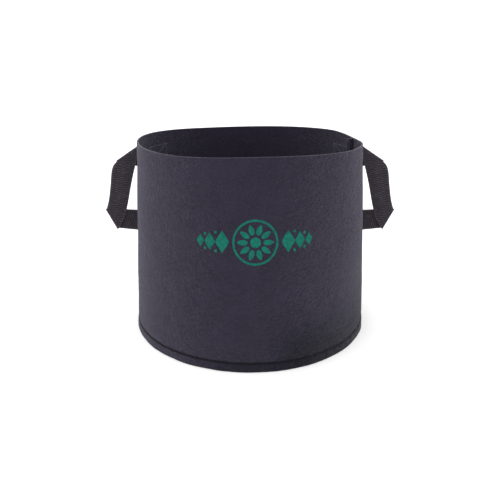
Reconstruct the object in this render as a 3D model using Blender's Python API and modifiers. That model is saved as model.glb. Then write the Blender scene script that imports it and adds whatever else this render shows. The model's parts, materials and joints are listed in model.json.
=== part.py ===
"""Fabric grow bag: a round felt pot with two webbing handles.

Built in metres, +Z up. The front of the pot faces -Y and its right side is +X. The origin is the
centre of the pot's footprint, on the ground. Angles round the pot are measured from the front.
"""
import math

import bmesh
import bpy
from mathutils import Vector

# Pot
BASE_RADIUS = 0.150
RIM_RADIUS = 0.143
HEIGHT = 0.241
FELT = 0.0020
WALL_SIDES = 60
CLEARANCE = 0.0003

# Base seam: the wall is stitched to the base panel's turned-down edge
SEAM_HEIGHT = 0.0105
SEAM_PINCH = 0.0015
SEAM_PINCH_SPAN = 0.0055
FOOT_HEIGHT = SEAM_HEIGHT - SEAM_PINCH_SPAN
BASE_BEND = 0.0030
BASE_SAG = 0.0075

# Side seam: the wall panel's two ends are turned inward and sewn face to face
SIDE_SEAM_ANGLE = math.radians(102.0)
SEAM_ALLOWANCE = 0.0100
SEAM_CORNER = 0.0025
SIDE_STITCH_DEPTH = 0.0060

# Handles: each strap is sewn on by its two ends, and its loop swings about the front edges of those
WEBBING_WIDTH = 0.0300
WEBBING = 0.0016
UPPER_TAB_HEIGHT = 0.2110
LOWER_TAB_HEIGHT = 0.1215
HINGE_ANGLE = math.radians(103.8)
TAB_LENGTH = 0.0520
TAB_SETBACK = 0.0010
LOOP_SETBACK = 0.0020
SWING_AT_REST = math.radians(57.0)

# Loop: the strap folds down from the upper end and back in to the lower end. Each pair of places is on
# its inner and outer edge, as (away from the pot, up from the lower hinge point).
UPPER_FOLD = ((0.0104, 0.1053), (0.0396, 0.0856))
LOWER_FOLD = ((0.0396, -0.0090), (0.0546, 0.0204))
GRIP = (
    ((0.0136, 0.0825), (0.0448, 0.0772)),
    ((0.0186, 0.0610), (0.0472, 0.0610)),
    ((0.0226, 0.0390), (0.0496, 0.0390)),
    ((0.0268, 0.0180), (0.0522, 0.0260)),
)
GRIP_FORWARD = 0.0035
TIGHT_FOLD = 0.00175
OPEN_FOLD = 0.0020

# Thread
THREAD = 0.0008
STITCH_INSET = 0.0035
STITCH_TRACK = 0.0013
STITCH_HOP = 0.0012


def clear_scene():
    """Remove every object, so that the model starts from nothing."""
    for item in list(bpy.data.objects):
        bpy.data.objects.remove(item, do_unlink=True)


def make_collection(name):
    """A collection of this name in the scene."""
    made = bpy.data.collections.new(name)
    bpy.context.scene.collection.children.link(made)
    return made


def make_material(name, colour, roughness):
    """A plain Principled material."""
    made = bpy.data.materials.new(name)
    made.use_nodes = True
    shader = made.node_tree.nodes["Principled BSDF"]
    shader.inputs["Base Color"].default_value = (*colour, 1.0)
    shader.inputs["Roughness"].default_value = roughness
    shader.inputs["Metallic"].default_value = 0.0
    return made


def add_object(name, data, collection, material):
    """An object holding this mesh or curve, in the model's collection."""
    made = bpy.data.objects.new(name, data)
    made.data.materials.append(material)
    collection.objects.link(made)
    return made


def wall_radius(height):
    """Outer radius of the wall: upright at the foot, pinched in at the base seam, then a slight taper."""
    share = max(0.0, height - FOOT_HEIGHT) / (HEIGHT - FOOT_HEIGHT)
    taper = BASE_RADIUS + (RIM_RADIUS - BASE_RADIUS) * share
    offset = (height - SEAM_HEIGHT) / SEAM_PINCH_SPAN
    pinch = SEAM_PINCH * max(0.0, 1.0 - offset * offset)
    return taper - pinch


def on_wall(angle, height, outward=0.0):
    """A point at this angle and height, this far outward of the wall's outer face."""
    radius = wall_radius(height) + outward
    return Vector((radius * math.sin(angle), -radius * math.cos(angle), height))


def sheet_mesh(name, rows):
    """A grid surface through rows of points."""
    mesh = bmesh.new()
    grid = [[mesh.verts.new(point) for point in row] for row in rows]
    for low, high in zip(grid, grid[1:]):
        for a, b, c, d in zip(low, low[1:], high[1:], high):
            mesh.faces.new((a, b, c, d))
    made = bpy.data.meshes.new(name)
    mesh.to_mesh(made)
    mesh.free()
    return made


def add_thickness(item, thickness, offset):
    """Give a sheet its thickness. An offset of -1 keeps the sheet as the outer face, 0 as the middle."""
    solid = item.modifiers.new("Thickness", "SOLIDIFY")
    solid.thickness = thickness
    solid.offset = offset
    solid.use_even_offset = True
    item.data.shade_smooth()
    item.data.set_sharp_from_angle(angle=math.radians(40.0))


def tube_curve(name, points, diameter, cyclic=False):
    """A round thread along a run of points."""
    curve = bpy.data.curves.new(name, "CURVE")
    curve.dimensions = "3D"
    curve.bevel_depth = diameter / 2
    curve.bevel_resolution = 1
    curve.use_fill_caps = not cyclic
    spline = curve.splines.new("POLY")
    spline.points.add(len(points) - 1)
    for target, point in zip(spline.points, points):
        target.co = (*point, 1.0)
    spline.use_cyclic_u = cyclic
    return curve


# ---------------------------------------------------------------- felt panels


def wall_heights():
    """Heights of the wall's rings, closer together round the stitched seam."""
    near_seam = [SEAM_HEIGHT + SEAM_PINCH_SPAN * step / 2 for step in (-2, -1, 0, 1, 2)]
    return [0.0] + near_seam + [HEIGHT * share for share in (0.35, 0.68, 1.0)]


def wall_outline(height):
    """Plan of the panel's outer face: out from one sewn end, round the pot, and in to the other."""
    radius = wall_radius(height)
    half_gap = CLEARANCE / 2
    seam = Vector((math.sin(SIDE_SEAM_ANGLE), -math.cos(SIDE_SEAM_ANGLE), 0.0))
    along = Vector((math.cos(SIDE_SEAM_ANGLE), math.sin(SIDE_SEAM_ANGLE), 0.0))
    section = [(SEAM_ALLOWANCE, half_gap)]
    for step in range(4):
        turn = math.radians(30.0 * step)
        inward = SEAM_CORNER * (1 - math.sin(turn))
        sideways = half_gap + SEAM_CORNER * (1 - math.cos(turn))
        section.append((inward, sideways))

    def turned_end(side):
        level = Vector((0.0, 0.0, height))
        return [seam * (radius - inward) + along * sideways * side + level for inward, sideways in section]

    reach = (half_gap + SEAM_CORNER) / radius
    around = []
    for step in range(1, WALL_SIDES):
        angle = SIDE_SEAM_ANGLE + reach + (2 * math.pi - 2 * reach) * step / WALL_SIDES
        around.append(on_wall(angle, height))
    return turned_end(1) + around + turned_end(-1)[::-1]


def add_wall(collection, material):
    """The wall: one rolled strip of felt with both ends turned inward at the side seam."""
    rows = [wall_outline(height) for height in wall_heights()]
    item = add_object("wall_panel", sheet_mesh("wall_panel", rows), collection, material)
    add_thickness(item, FELT, -1.0)


def base_profile():
    """Half section of the base panel, from the middle of its upper face round to the middle below."""
    outer_low = wall_radius(0.0) - FELT - CLEARANCE
    outer_seam = wall_radius(SEAM_HEIGHT) - FELT - CLEARANCE
    bend_start = SEAM_HEIGHT + 0.0010
    top = bend_start + BASE_BEND
    flat_edge = outer_seam - BASE_BEND
    inner_bend = BASE_BEND - FELT

    def sagged(share, height):
        return (flat_edge * share, height - BASE_SAG * (1.0 - share * share))

    def bend(reach, turn):
        return (flat_edge + reach * math.sin(turn), bend_start + reach * math.cos(turn))

    shares = (0.0, 0.35, 0.65, 0.87)
    turns = [math.radians(30.0 * step) for step in range(4)]
    upper = [sagged(share, top) for share in shares] + [bend(BASE_BEND, turn) for turn in turns]
    skirt = [(outer_seam, SEAM_HEIGHT), (outer_low, 0.0)]
    skirt += [(radius - FELT, height) for radius, height in reversed(skirt)]
    lower = [bend(inner_bend, turn) for turn in (turns[3], turns[0])]
    lower += [sagged(share, top - FELT) for share in reversed(shares)]
    return upper + skirt + lower


def add_seam_notch(collection):
    """A cutter that leaves room in the base's edge for the wall's turned-in ends."""
    bpy.ops.mesh.primitive_cube_add(size=1.0)
    cutter = bpy.context.active_object
    cutter.name = "seam_notch"
    middle = wall_radius(0.0) - SEAM_ALLOWANCE / 2 - 0.001
    cutter.location = (middle * math.sin(SIDE_SEAM_ANGLE), -middle * math.cos(SIDE_SEAM_ANGLE), 0.008)
    cutter.rotation_euler = (0.0, 0.0, SIDE_SEAM_ANGLE)
    cutter.scale = (2 * (FELT + CLEARANCE) + 0.0016, SEAM_ALLOWANCE + 0.004, 0.030)
    cutter.hide_render = True
    cutter.display_type = "WIRE"
    for holder in list(cutter.users_collection):
        holder.objects.unlink(cutter)
    collection.objects.link(cutter)
    return cutter


def add_base(collection, material, notch):
    """The base: a felt disc hung from the seam, its edge turned down inside the wall."""
    outline = bmesh.new()
    ring = [outline.verts.new((radius, 0.0, height)) for radius, height in base_profile()]
    for start, end in zip(ring, ring[1:]):
        outline.edges.new((start, end))
    data = bpy.data.meshes.new("base_panel")
    outline.to_mesh(data)
    outline.free()
    item = add_object("base_panel", data, collection, material)
    turn = item.modifiers.new("Turn", "SCREW")
    turn.steps = WALL_SIDES
    turn.render_steps = WALL_SIDES
    turn.use_merge_vertices = True
    turn.merge_threshold = 0.00002
    cut = item.modifiers.new("Notch", "BOOLEAN")
    cut.object = notch
    cut.solver = "EXACT"


# ---------------------------------------------------------------- handles


def mirrored(point, side):
    """The point itself on the right side (+1), or its mirror image on the left (-1)."""
    return Vector((point.x * side, point.y, point.z))


def hinge_point(height):
    """Where the right handle's hinge line passes this height, on the outer face of its sewn ends."""
    return on_wall(HINGE_ANGLE, height, CLEARANCE + WEBBING)


def loop_directions():
    """The right loop's directions at rest: away from the pot, to the loop's front, and up."""
    up = (hinge_point(UPPER_TAB_HEIGHT) - hinge_point(LOWER_TAB_HEIGHT)).normalized()
    along_wall = Vector((-math.cos(HINGE_ANGLE), -math.sin(HINGE_ANGLE), 0.0))
    outward = along_wall.cross(up) * -1.0
    away = along_wall * math.cos(SWING_AT_REST) + outward * math.sin(SWING_AT_REST)
    front = along_wall * math.sin(SWING_AT_REST) - outward * math.cos(SWING_AT_REST)
    return away, front, up


def fold(ends, downward):
    """Rows across the strap as it turns over a fold line, from its back layer to its front layer.

    The fold is tight at its inner end and a little more open at its outer end.
    """
    inner, outer = (Vector(end) for end in ends)
    line = (outer - inner).normalized()
    over = Vector((line.y, -line.x)) if downward else Vector((-line.y, line.x))
    rows = []
    for step in range(6):
        turn = math.pi * step / 5
        row = []
        for corner, radius in ((inner, TIGHT_FOLD), (outer, OPEN_FOLD)):
            flat = corner + over * radius * (math.sin(turn) - 1.0)
            row.append(Vector((flat.x, GRIP_FORWARD - radius * (1.0 + math.cos(turn)), flat.y)))
        rows.append(row)
    return rows


def loop_rows():
    """Pairs of points on the strap's two edges along the loop, as (away, front, up) from the hinge."""
    half = WEBBING_WIDTH / 2
    rise = (hinge_point(UPPER_TAB_HEIGHT) - hinge_point(LOWER_TAB_HEIGHT)).length
    upper_arm = [[Vector((LOOP_SETBACK, 0.0, rise + half)), Vector((LOOP_SETBACK, 0.0, rise - half))]]
    lower_arm = [[Vector((LOOP_SETBACK, 0.0, -half)), Vector((LOOP_SETBACK, 0.0, half))]]
    grip = [[Vector((edge[0], GRIP_FORWARD, edge[1])) for edge in pair] for pair in GRIP]
    return upper_arm + fold(UPPER_FOLD, False) + grip + fold(LOWER_FOLD, True)[::-1] + lower_arm


def add_loop(name, side, collection, guides, material):
    """The free part of a handle, parented to an empty on its hinge line."""
    away, front, up = loop_directions()
    origin = hinge_point(LOWER_TAB_HEIGHT)
    pivot = bpy.data.objects.new(name + "_hinge", None)
    pivot.location = mirrored(origin, side)
    guides.objects.link(pivot)
    rows = []
    for inner, outer in loop_rows():
        row = []
        for share in (0.0, 0.33, 0.67, 1.0):
            local = inner.lerp(outer, share)
            row.append(mirrored(away * local.x + front * local.y + up * local.z, side))
        rows.append(row)
    if side < 0:
        rows = [row[::-1] for row in rows]
    item = add_object(name, sheet_mesh(name, rows), collection, material)
    item.parent = pivot
    add_thickness(item, WEBBING, 0.0)


def tab_angles(count):
    """Angles along a sewn end, from its edge at the hinge line backward."""
    start = HINGE_ANGLE + TAB_SETBACK / BASE_RADIUS
    length = TAB_LENGTH / wall_radius(UPPER_TAB_HEIGHT)
    return [start + length * step / count for step in range(count + 1)]


def add_tab(name, side, middle_height, collection, material):
    """A strap end, sewn flat to the wall."""
    rows = []
    for share in (-0.5, 0.5):
        height = middle_height + WEBBING_WIDTH * share
        row = [on_wall(angle, height, CLEARANCE + WEBBING / 2) for angle in tab_angles(8)]
        rows.append([mirrored(point, side) for point in row])
    if side < 0:
        rows = rows[::-1]
    item = add_object(name, sheet_mesh(name, rows), collection, material)
    add_thickness(item, WEBBING, 0.0)


# ---------------------------------------------------------------- threads


def stitch_route():
    """A box with a cross in it, in one run of thread, as (along, up, lift) on a strap end."""
    long_half = TAB_LENGTH / 2 - STITCH_INSET
    high_half = WEBBING_WIDTH / 2 - STITCH_INSET
    track = STITCH_TRACK
    corners = [
        (-long_half, high_half - track),
        (-long_half, -high_half),
        (long_half, -high_half),
        (long_half, high_half),
        (-long_half + track, high_half),
        (long_half - 2 * track, -high_half + track),
        (long_half - track, -high_half + 2 * track),
        (long_half - track, high_half - 2 * track),
        (-long_half + track, -high_half + track),
    ]
    route = []
    last_leg = len(corners) - 2
    for leg, (start, end) in enumerate(zip(corners, corners[1:])):
        length = math.hypot(end[0] - start[0], end[1] - start[1])
        pieces = max(1, round(length / 0.007))
        pieces += pieces % 2 if leg == last_leg else 0
        for step in range(pieces):
            share = step / pieces
            along = start[0] + (end[0] - start[0]) * share
            upward = start[1] + (end[1] - start[1]) * share
            crossing = leg == last_leg and step == pieces // 2
            route.append((along, upward, STITCH_HOP if crossing else 0.0))
    route.append((*corners[-1], 0.0))
    return route


def add_tab_thread(name, side, middle_height, outward, lift_sign, collection, material):
    """One of the two threads of a strap end's stitching, on one face of the sewn layers."""
    start = HINGE_ANGLE + TAB_SETBACK / BASE_RADIUS
    radius = wall_radius(UPPER_TAB_HEIGHT)
    points = []
    for along, upward, lift in stitch_route():
        angle = start + (along + TAB_LENGTH / 2) / radius
        point = on_wall(angle, middle_height + upward, outward + lift * lift_sign)
        points.append(mirrored(point, side))
    curve = tube_curve(name, points, THREAD)
    add_object(name, curve, collection, material)


def add_base_seam(collection, material):
    """The two threads of the base seam: one in the groove outside, one inside the base's edge."""
    outside = []
    for step in range(WALL_SIDES):
        angle = 2 * math.pi * step / WALL_SIDES
        outside.append(on_wall(angle, SEAM_HEIGHT, CLEARANCE + THREAD / 2))
    curve = tube_curve("base_seam_needle_thread", outside, THREAD, cyclic=True)
    add_object("base_seam_needle_thread", curve, collection, material)

    depth = 2 * FELT + 2 * CLEARANCE + THREAD / 2
    margin = (FELT + CLEARANCE + 0.002) / BASE_RADIUS
    inside = []
    for step in range(WALL_SIDES + 1):
        angle = SIDE_SEAM_ANGLE + margin + (2 * math.pi - 2 * margin) * step / WALL_SIDES
        inside.append(on_wall(angle, SEAM_HEIGHT, -depth))
    curve = tube_curve("base_seam_bobbin_thread", inside, THREAD)
    add_object("base_seam_bobbin_thread", curve, collection, material)


def add_side_seam(collection, material):
    """The two threads of the side seam, one on each face of the turned-in ends."""
    seam = Vector((math.sin(SIDE_SEAM_ANGLE), -math.cos(SIDE_SEAM_ANGLE), 0.0))
    along = Vector((math.cos(SIDE_SEAM_ANGLE), math.sin(SIDE_SEAM_ANGLE), 0.0))
    beside = CLEARANCE / 2 + FELT + CLEARANCE + THREAD / 2
    for name, side in (("side_seam_needle_thread", -1), ("side_seam_bobbin_thread", 1)):
        points = []
        for height in (SEAM_HEIGHT + 0.008, HEIGHT / 2, HEIGHT - 0.002):
            depth = wall_radius(height) - SIDE_STITCH_DEPTH
            points.append(seam * depth + along * beside * side + Vector((0.0, 0.0, height)))
        add_object(name, tube_curve(name, points, THREAD), collection, material)


def build():
    """Make the whole bag."""
    clear_scene()
    model = make_collection("fabric_grow_bag")
    guides = make_collection("guides")
    felt = make_material("felt", (0.038, 0.035, 0.050), 0.95)
    base_felt = make_material("base_felt", (0.034, 0.032, 0.044), 0.95)
    webbing = make_material("webbing", (0.036, 0.033, 0.042), 0.8)
    thread = make_material("thread", (0.050, 0.048, 0.056), 0.6)

    add_wall(model, felt)
    add_base(model, base_felt, add_seam_notch(guides))
    add_base_seam(model, thread)
    add_side_seam(model, thread)
    for side_name, side in (("left", -1), ("right", 1)):
        handle = side_name + "_handle"
        add_loop(handle + "_loop", side, model, guides, webbing)
        for level, height in (("upper", UPPER_TAB_HEIGHT), ("lower", LOWER_TAB_HEIGHT)):
            tab = handle + "_" + level + "_end"
            add_tab(tab, side, height, model, webbing)
            outside = WEBBING + 2 * CLEARANCE + THREAD / 2
            inside = -FELT - CLEARANCE - THREAD / 2
            add_tab_thread(tab + "_needle_thread", side, height, outside, 1, model, thread)
            add_tab_thread(tab + "_bobbin_thread", side, height, inside, -1, model, thread)


build()
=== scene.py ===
"""Looks of the fabric grow bag: felt wall and base, webbing handles, stitching, print and light."""
import json
import math

import bpy
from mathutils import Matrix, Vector, noise


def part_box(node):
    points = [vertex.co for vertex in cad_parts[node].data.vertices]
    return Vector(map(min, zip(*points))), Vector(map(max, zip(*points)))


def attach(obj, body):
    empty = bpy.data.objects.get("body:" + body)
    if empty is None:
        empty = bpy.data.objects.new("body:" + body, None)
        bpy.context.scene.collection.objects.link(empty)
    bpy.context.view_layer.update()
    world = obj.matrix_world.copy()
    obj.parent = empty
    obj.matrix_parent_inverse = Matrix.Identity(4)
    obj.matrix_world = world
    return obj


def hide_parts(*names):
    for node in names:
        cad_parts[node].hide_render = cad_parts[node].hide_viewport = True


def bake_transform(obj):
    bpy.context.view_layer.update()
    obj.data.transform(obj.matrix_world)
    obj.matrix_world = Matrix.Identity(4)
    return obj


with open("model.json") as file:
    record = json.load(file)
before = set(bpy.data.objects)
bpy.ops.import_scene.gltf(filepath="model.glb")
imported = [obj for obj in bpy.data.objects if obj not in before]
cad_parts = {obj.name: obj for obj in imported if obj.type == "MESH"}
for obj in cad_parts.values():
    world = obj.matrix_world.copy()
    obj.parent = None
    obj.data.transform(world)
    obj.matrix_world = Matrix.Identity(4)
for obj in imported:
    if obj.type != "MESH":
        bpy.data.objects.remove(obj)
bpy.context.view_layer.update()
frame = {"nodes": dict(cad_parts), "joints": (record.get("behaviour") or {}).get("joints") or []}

# ---------------------------------------------------------------- sizes, from the frame

WALL_LOW, WALL_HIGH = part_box("wall_panel")
BASE_RADIUS = (WALL_HIGH.x - WALL_LOW.x) / 2
HEIGHT = WALL_HIGH.z
RIM_RADIUS = max(
    math.hypot(vertex.co.x, vertex.co.y)
    for vertex in frame["nodes"]["wall_panel"].data.vertices
    if vertex.co.z > HEIGHT - 0.002
)
SEAM_LOW, SEAM_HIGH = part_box("base_seam_needle_thread")
SEAM_HEIGHT = (SEAM_LOW.z + SEAM_HIGH.z) / 2
THREAD = 0.0007

FELT = 0.0020
CLEARANCE = 0.0003
SEAM_PINCH = 0.0011
PINCH_ABOVE = 0.0120
PINCH_BELOW = 0.0022
SKIRT_FLARE = 0.0004

SIDE_SEAM_ANGLE = math.radians(102.0)
SEAM_ALLOWANCE = 0.0100
SEAM_CORNER = 0.0025
SIDE_STITCH_DEPTH = 0.0060

WEBBING = 0.0016
WEBBING_WIDTH = 0.0300
HALF_WEBBING = WEBBING_WIDTH / 2
HINGES = {joint["child"]: joint for joint in frame["joints"]}
HINGE_ANGLE = math.radians(103.8)
TAB_LENGTH = 0.0520


def node_middle_height(name):
    low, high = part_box(name)
    return (low.z + high.z) / 2


UPPER_TAB_HEIGHT = node_middle_height("right_handle_upper_end")
LOWER_TAB_HEIGHT = node_middle_height("right_handle_lower_end")

BASE_STITCH = 0.0045
TAB_STITCH = 0.0032
SIDE_STITCH = 0.0045


# ---------------------------------------------------------------- helpers


def smooth(low, high, value):
    """0 below low, 1 above high, and a smooth rise between."""
    share = min(1.0, max(0.0, (value - low) / (high - low)))
    return share * share * (3.0 - 2.0 * share)


def radial(angle):
    """Outward direction at this angle, measured from the front towards the right."""
    return Vector((math.sin(angle), -math.cos(angle), 0.0))


def tangent(angle):
    """Direction round the pot at this angle, towards larger angles."""
    return Vector((math.cos(angle), math.sin(angle), 0.0))


def spread(low, high, count):
    """Evenly spaced values from low to high, both included."""
    return [low + (high - low) * step / (count - 1) for step in range(count)]


def distances(points):
    """Distance from the first point to each point, along the line through them all."""
    run = [0.0]
    for start, end in zip(points, points[1:]):
        run.append(run[-1] + (end - start).length)
    return run


def stops(run, count):
    """Evenly spaced stops along a run of distances, each as the leg it is on and its share of it."""
    made, leg = [], 0
    for wanted in spread(0.0, run[-1], count):
        while leg < len(run) - 2 and run[leg + 1] < wanted:
            leg += 1
        made.append((leg, (wanted - run[leg]) / max(run[leg + 1] - run[leg], 1e-9)))
    return made


def link(item):
    """Put a new object in the scene."""
    bpy.context.scene.collection.objects.link(item)
    return item


def mesh_object(name, points, faces, uvs=None, materials=(), indices=None):
    """A smooth-shaded mesh object, with a UV for each point and a material index for each face."""
    mesh = bpy.data.meshes.new(name)
    mesh.from_pydata([tuple(point) for point in points], [], faces)
    mesh.validate()
    if uvs:
        layer = mesh.uv_layers.new(name="UVMap")
        for loop in mesh.loops:
            layer.data[loop.index].uv = uvs[loop.vertex_index]
    for material in materials:
        mesh.materials.append(material)
    if indices:
        mesh.polygons.foreach_set("material_index", indices)
    mesh.polygons.foreach_set("use_smooth", [True] * len(mesh.polygons))
    mesh.update()
    return link(bpy.data.objects.new(name, mesh))


def grid_normals(rows, cyclic):
    """Normals of a grid of points, along (next column) x (next row)."""
    last_row, last_column = len(rows) - 1, len(rows[0]) - 1
    normals = []
    for r, row in enumerate(rows):
        line = []
        for c in range(len(row)):
            if cyclic:
                before, after = row[c - 1], row[(c + 1) % len(row)]
            else:
                before, after = row[max(c - 1, 0)], row[min(c + 1, last_column)]
            below, above = rows[max(r - 1, 0)][c], rows[min(r + 1, last_row)][c]
            line.append((after - before).cross(above - below).normalized())
        normals.append(line)
    return normals


# How a cut edge rounds off: share of the thickness left, and how far it stands past the last row
CUT_EDGE = ((0.92, 0.0002), (0.68, 0.0004), (0.30, 0.0005))


def shell(name, rows, thickness, materials, uvs, lift=0.0, cyclic=False, centre=None):
    """A closed sheet made from a grid of points.

    Its upper face looks along (next column) x (next row), and lift is the share of the thickness that
    lies above the grid. thickness is a number, or a function of the row's and column's numbers. The
    first and last rows are cut edges, rounded off. Two centre points, the upper face's and the lower
    face's, close a disc at its first row instead.
    The second material, if there is one, is that of the cut edges.
    """
    normals = grid_normals(rows, cyclic)
    last = len(rows) - 1
    plan = [] if centre else [(0, share, past, 1) for share, past in reversed(CUT_EDGE)]
    plan += [(r, 1.0, 0.0, None) for r in range(len(rows))]
    plan += [(last, share, past, last - 1) for share, past in CUT_EDGE]
    edge_slot = 1 if len(materials) > 1 else 0

    uppers, lowers, uv_rows = [], [], []
    for r, share, past, before in plan:
        upper, lower = [], []
        for c, (point, normal) in enumerate(zip(rows[r], normals[r])):
            depth = thickness(r, c) if callable(thickness) else thickness
            middle = point + normal * depth * (lift - 0.5)
            if before is not None:
                middle = middle + (point - rows[before][c]).normalized() * past
            upper.append(middle + normal * depth / 2 * share)
            lower.append(middle - normal * depth / 2 * share)
        uppers.append(upper)
        lowers.append(lower)
        uv_rows.append(uvs[r])

    width, height = len(rows[0]), len(uppers)
    points = [point for row in uppers + lowers for point in row]
    point_uvs = [uv for row in uv_rows + uv_rows for uv in row]
    below = width * height
    faces, slots = [], []

    def face(slot, *corners):
        faces.append(corners)
        slots.append(slot)

    columns = width if cyclic else width - 1
    first_cut = 0 if centre else len(CUT_EDGE)
    for r in range(height - 1):
        slot = edge_slot if r < first_cut or r >= height - 1 - len(CUT_EDGE) else 0
        for c in range(columns):
            d = (c + 1) % width
            a, b = r * width + c, r * width + d
            f, e = a + width, b + width
            face(slot, a, b, e, f)
            face(slot, below + f, below + e, below + b, below + a)
    top = (height - 1) * width
    for c in range(columns):
        d = (c + 1) % width
        if not centre:
            face(edge_slot, d, c, below + c, below + d)
        face(edge_slot, top + c, top + d, below + top + d, below + top + c)
    if not cyclic:
        for r in range(height - 1):
            a, f = r * width, (r + 1) * width
            face(edge_slot, a, f, below + f, below + a)
            b, e = a + width - 1, f + width - 1
            face(edge_slot, e, b, below + b, below + e)
    if centre:
        points += centre
        point_uvs += [(0.0, 0.0)] * 2
        for c in range(width):
            d = (c + 1) % width
            face(0, d, c, 2 * below)
            face(0, below + c, below + d, 2 * below + 1)
    return mesh_object(name, points, faces, point_uvs, materials, slots)


THREAD_SIDES = 6
THREAD_TIP = 0.55


def tube_into(points, faces, path, radius):
    """Add a round thread along a path to lists of points and faces. Its ends narrow to a blunt tip."""
    start = len(points)
    last = len(path) - 1
    across = None
    for step, point in enumerate(path):
        way = (path[min(step + 1, last)] - path[max(step - 1, 0)]).normalized()
        if across is None:
            across = way.orthogonal().normalized()
        across = (across - way * across.dot(way)).normalized()
        beside = way.cross(across)
        reach = radius * (THREAD_TIP if step in (0, last) else 1.0)
        for side in range(THREAD_SIDES):
            turn = 2 * math.pi * side / THREAD_SIDES
            points.append(point + (across * math.cos(turn) + beside * math.sin(turn)) * reach)
    for step in range(last):
        for side in range(THREAD_SIDES):
            after = (side + 1) % THREAD_SIDES
            low = start + step * THREAD_SIDES
            high = low + THREAD_SIDES
            faces.append((low + side, low + after, high + after, high + side))
    tip = start + last * THREAD_SIDES
    faces.append(tuple(start + side for side in reversed(range(THREAD_SIDES))))
    faces.append(tuple(tip + side for side in range(THREAD_SIDES)))


# ---------------------------------------------------------------- materials


class Nodes:
    """Short calls for building a material's node tree."""

    def __init__(self, name):
        self.material = bpy.data.materials.new(name)
        self.material.use_nodes = True
        self.tree = self.material.node_tree
        self.shader = self.tree.nodes["Principled BSDF"]

    def feed(self, socket, value):
        """Feed a socket from a node's output, or set it to a number, a vector or a colour."""
        if isinstance(value, bpy.types.NodeSocket):
            self.tree.links.new(value, socket)
        else:
            socket.default_value = (*value, 1.0) if socket.type == "RGBA" else value

    def add(self, kind, **inputs):
        """A new node of this kind, with its inputs fed by name."""
        made = self.tree.nodes.new("ShaderNode" + kind)
        for name, value in inputs.items():
            self.feed(made.inputs[name], value)
        return made

    def uv(self):
        return self.add("TexCoord").outputs["UV"]

    def position(self):
        return self.add("TexCoord").outputs["Object"]

    def mapped(self, vector, scale, turn=0.0):
        """The vector, turned about its Z by an angle in degrees and then scaled."""
        turned = self.add("Mapping", Vector=vector, Rotation=(0.0, 0.0, math.radians(turn)))
        return self.add("Mapping", Vector=turned.outputs["Vector"], Scale=scale).outputs["Vector"]

    def noise(self, vector, scale, detail=2.0, roughness=0.5, distortion=0.0):
        made = self.add("TexNoise", Vector=vector, Scale=scale, Detail=detail, Roughness=roughness)
        self.feed(made.inputs["Distortion"], distortion)
        return made.outputs["Fac"]

    def pills(self, vector, scale, radius, share):
        """Small round bobbles, one to a cell at most, in this share of the cells."""
        cells = self.add("TexVoronoi", Vector=vector, Scale=scale)
        cells.voronoi_dimensions = "2D"
        colour = self.add("SeparateColor", Color=cells.outputs["Color"])
        chosen = self.range(colour.outputs["Red"], share - 0.01, share + 0.01, 1.0, 0.0)
        reach = radius * scale
        bobble = self.range(cells.outputs["Distance"], 0.3 * reach, reach, 1.0, 0.0)
        return self.times(bobble, chosen)

    def range(self, value, low, high, to_low=0.0, to_high=1.0):
        """The value's run from low to high, mapped to another run and clamped."""
        made = self.add("MapRange", Value=value)
        made.interpolation_type = "SMOOTHSTEP"
        for name, number in (
            ("From Min", low), ("From Max", high), ("To Min", to_low), ("To Max", to_high),
        ):
            self.feed(made.inputs[name], number)
        return made.outputs["Result"]

    def math(self, operation, *values):
        made = self.add("Math")
        made.operation = operation
        for socket, value in zip(made.inputs, values):
            self.feed(socket, value)
        return made.outputs["Value"]

    def times(self, a, b):
        return self.math("MULTIPLY", a, b)

    def sum(self, *terms):
        """The sum of values, each given with its weight."""
        total = None
        for value, weight in terms:
            term = self.times(value, weight)
            total = term if total is None else self.math("ADD", total, term)
        return total

    def mix(self, share, a, b):
        """Colour a at share 0 and colour b at share 1."""
        made = self.add("Mix", Factor=share)
        made.data_type = "RGBA"
        sockets = [socket for socket in made.inputs if socket.type == "RGBA"]
        for socket, value in zip(sockets, (a, b)):
            self.feed(socket, value)
        return next(socket for socket in made.outputs if socket.type == "RGBA")

    def split(self, vector):
        """The vector's X and Y."""
        parts = self.add("SeparateXYZ", Vector=vector)
        return parts.outputs["X"], parts.outputs["Y"]

    def bump(self, height, distance, strength):
        return self.add("Bump", Height=height, Distance=distance, Strength=strength).outputs["Normal"]

    def fabric(self, colour, normal, roughness, sheen, sheen_roughness, tint, specular):
        """The finished material, a cloth of this colour, relief and shine."""
        for name, value in (
            ("Base Color", colour), ("Normal", normal), ("Roughness", roughness), ("Metallic", 0.0),
            ("Specular IOR Level", specular), ("Sheen Weight", sheen), ("Sheen Tint", tint),
            ("Sheen Roughness", sheen_roughness),
        ):
            self.feed(self.shader.inputs[name], value)
        return self.material


# Angles that the felt's fibres lie at, in degrees, and how finely they repeat along and across
FIBRE_TURNS = (8.0, 67.0, 128.0, -31.0)
FIBRE_SCALE = (110.0, 1500.0, 1.0)

# Run along the wall's strip, from the side seam, over which painted shade darkens the skirt under the
# base seam and the groove's painted shadow grows fainter
SKIRT_SHADE_RUN = (0.585, 0.665)

# Run along the strip and height within which painted shade darkens the lower front
LOWER_SHADE_RUN = (0.680, 0.735)
LOWER_SHADE_HEIGHT = (0.012, 0.078)


def fibres(nodes, vector):
    """A tangle of thin matted fibres lying at several angles, from 0 between them to 1 on them."""
    total = None
    for turn in FIBRE_TURNS:
        matted = nodes.noise(nodes.mapped(vector, FIBRE_SCALE, turn), 1.0, 1.5, 0.5, 0.6)
        strand = nodes.range(matted, 0.56, 0.70)
        total = strand if total is None else nodes.math("MAXIMUM", total, strand)
    return total


# Colours of painted shade on the felt: a painted shadow in the seam's groove, and painted shade on the
# skirt below it and low on the front
GROOVE_SHADE = (0.002, 0.002, 0.004)
PAINTED_SHADE = (0.004, 0.004, 0.008)


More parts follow.
